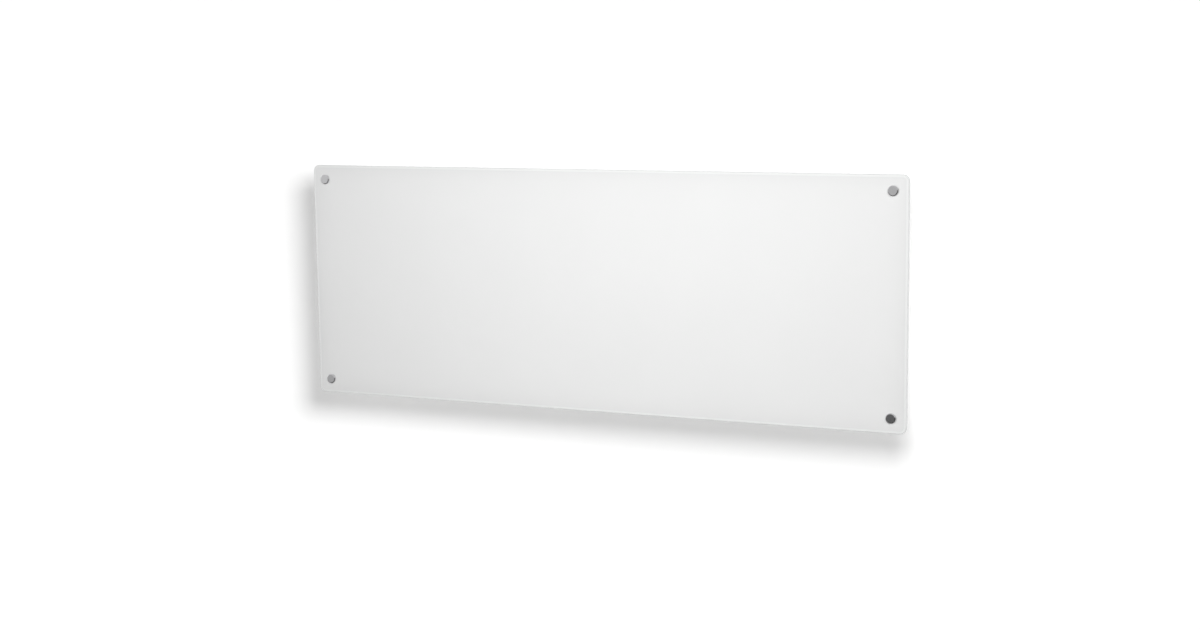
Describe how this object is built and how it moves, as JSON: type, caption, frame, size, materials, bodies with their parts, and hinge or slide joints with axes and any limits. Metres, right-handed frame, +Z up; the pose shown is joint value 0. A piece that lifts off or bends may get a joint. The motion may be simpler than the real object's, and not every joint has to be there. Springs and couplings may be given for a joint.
{
  "type": "glass convector heater",
  "caption": "Wall-hung convector heater: flat pale glass front held by round metal caps over a slim slotted steel casing with end controls, tilting on a wall bracket.",
  "frame": {"origin": "centre of the wall screws, on the wall plane", "axes": "+X to the right seen from the front, +Y into the wall, +Z up"},
  "size_m": [0.98, 0.09, 0.37],
  "materials": {
    "glass": "polished, white print on the back",
    "cap_steel": "brushed",
    "zinc_steel": "zinc plated",
    "white_steel": "satin powder coat",
    "bracket_steel": "satin powder coat",
    "spring_steel": "bare spring steel",
    "nylon": "natural",
    "white_plastic": "fine texture",
    "black_plastic": "fine texture",
    "grey_plastic": "plain",
    "dark_window": "gloss",
    "circuit_board": "solder mask",
    "winding": "wrapped tape",
    "fin_aluminium": "bare",
    "sheath_steel": "bare",
    "ceramic_bush": "unglazed",
    "lead_cover": "silicone"
  },
  "bodies": {
    "bracket": {"bracket_rail_lower": "bracket_steel", "bracket_rail_upper": "bracket_steel", "bracket_rivets": "zinc_steel", "bracket_upright_left": "bracket_steel", "bracket_upright_right": "bracket_steel", "catch_rivets": "zinc_steel", "catch_spring_left": "spring_steel", "catch_spring_right": "spring_steel"},
    "heater": {"board_connector": "grey_plastic", "bottom_grille": "white_steel", "cap_washers": "zinc_steel", "capacitor": "black_plastic", "control_housing": "grey_plastic", "cord_gland": "black_plastic", "cutout_bracket": "zinc_steel", "display_board": "circuit_board", "display_module": "dark_window", "display_window": "dark_window", "earth_screw": "zinc_steel", "element_bracket_left": "zinc_steel", "element_bracket_right": "zinc_steel", "element_bushes": "ceramic_bush", "element_fins": "fin_aluminium", "element_rod": "sheath_steel", "front_plate": "white_steel", "front_screws": "zinc_steel", "gland_nut": "black_plastic", "glass_bushes": "nylon", "glass_panel": "glass", "heat_shield": "zinc_steel", "hook_liners": "nylon", "lead_earth": "lead_cover", "lead_link": "lead_cover", "lead_live": "lead_cover", "lead_neutral": "lead_cover", "left_end_cap": "white_plastic", "panel_screws": "zinc_steel", "power_board": "circuit_board", "rear_panel": "white_steel", "relay": "black_plastic", "right_end_cap": "white_plastic", "room_sensor": "sheath_steel", "sensor_clip": "nylon", "standoff_posts": "zinc_steel", "stud_caps": "cap_steel", "stud_screws": "zinc_steel", "supply_leads": "lead_cover", "switch_frame": "black_plastic", "tact_switches": "black_plastic", "terminal_block": "black_plastic", "thermal_cutout": "sheath_steel", "top_grille": "white_steel", "transformer": "winding"},
    "rocker": {"switch_rocker": "black_plastic"},
    "button_power": {"button_power": "white_plastic"},
    "button_minus": {"button_minus": "white_plastic"},
    "button_plus": {"button_plus": "white_plastic"},
    "button_timer": {"button_timer": "white_plastic"}
  },
  "joints": [
    {"name": "heater_tilt", "type": "hinge", "parent": "bracket", "child": "heater", "pos_m": [0, -0.0165, -0.122], "axis": [1, 0, 0], "range_deg": [0, 30], "deforming": ["catch_spring_left", "catch_spring_right"]},
    {"name": "rocker_switch", "type": "hinge", "parent": "heater", "child": "rocker", "pos_m": [0.438, -0.0415, -0.045], "axis": [0, -1, 0], "range_deg": [0, 20]},
    {"name": "button_timer_press", "type": "slide", "parent": "heater", "child": "button_timer", "axis": [-1, 0, 0], "range_m": [0, 0.0008], "stiffness_N_per_m": 600},
    {"name": "button_minus_press", "type": "slide", "parent": "heater", "child": "button_minus", "axis": [-1, 0, 0], "range_m": [0, 0.0008], "stiffness_N_per_m": 600},
    {"name": "button_plus_press", "type": "slide", "parent": "heater", "child": "button_plus", "axis": [-1, 0, 0], "range_m": [0, 0.0008], "stiffness_N_per_m": 600},
    {"name": "button_power_press", "type": "slide", "parent": "heater", "child": "button_power", "axis": [-1, 0, 0], "range_m": [0, 0.0008], "stiffness_N_per_m": 600}
  ]
}
